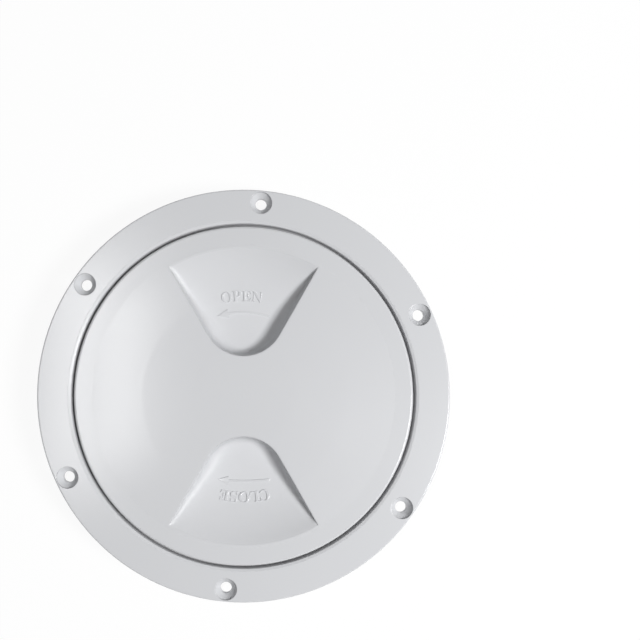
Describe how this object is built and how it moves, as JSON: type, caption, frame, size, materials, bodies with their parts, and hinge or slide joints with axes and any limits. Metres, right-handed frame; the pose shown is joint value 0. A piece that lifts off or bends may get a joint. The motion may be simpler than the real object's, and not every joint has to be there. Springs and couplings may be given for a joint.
{
  "type": "deck inspection plate",
  "caption": "Round screw-in deck inspection plate: a flanged ring with countersunk screw holes and a threaded lid with finger recesses.",
  "frame": {"origin": "on the axis, in the plane of the flange's underside, which lies on the deck", "axes": "+Z out of the deck, +Y through one of the screw holes; the neck hangs towards -Z"},
  "size_m": [0.205, 0.205, 0.0266],
  "materials": {
    "moulded_plastic": "satin, pale grey-white",
    "seal_rubber": "matt, black"
  },
  "bodies": {
    "ring": {"deck_ring": "moulded_plastic"},
    "seal": {"o_ring": "seal_rubber"},
    "lid": {"screw_lid": "moulded_plastic"}
  },
  "joints": [
    {"name": "lid_rise", "type": "slide", "parent": "ring", "child": "seal", "axis": [0, 0, 1], "range_m": [0, 0.024]},
    {"name": "lid_turn", "type": "hinge", "parent": "seal", "child": "lid", "pos_m": [0, 0, 0], "axis": [0, 0, 1], "range_deg": [0, 1440]}
  ],
  "couplings": [
    {"joint": "lid_rise", "follows": "lid_turn", "m_per_rad": 0.00095493}
  ]
}
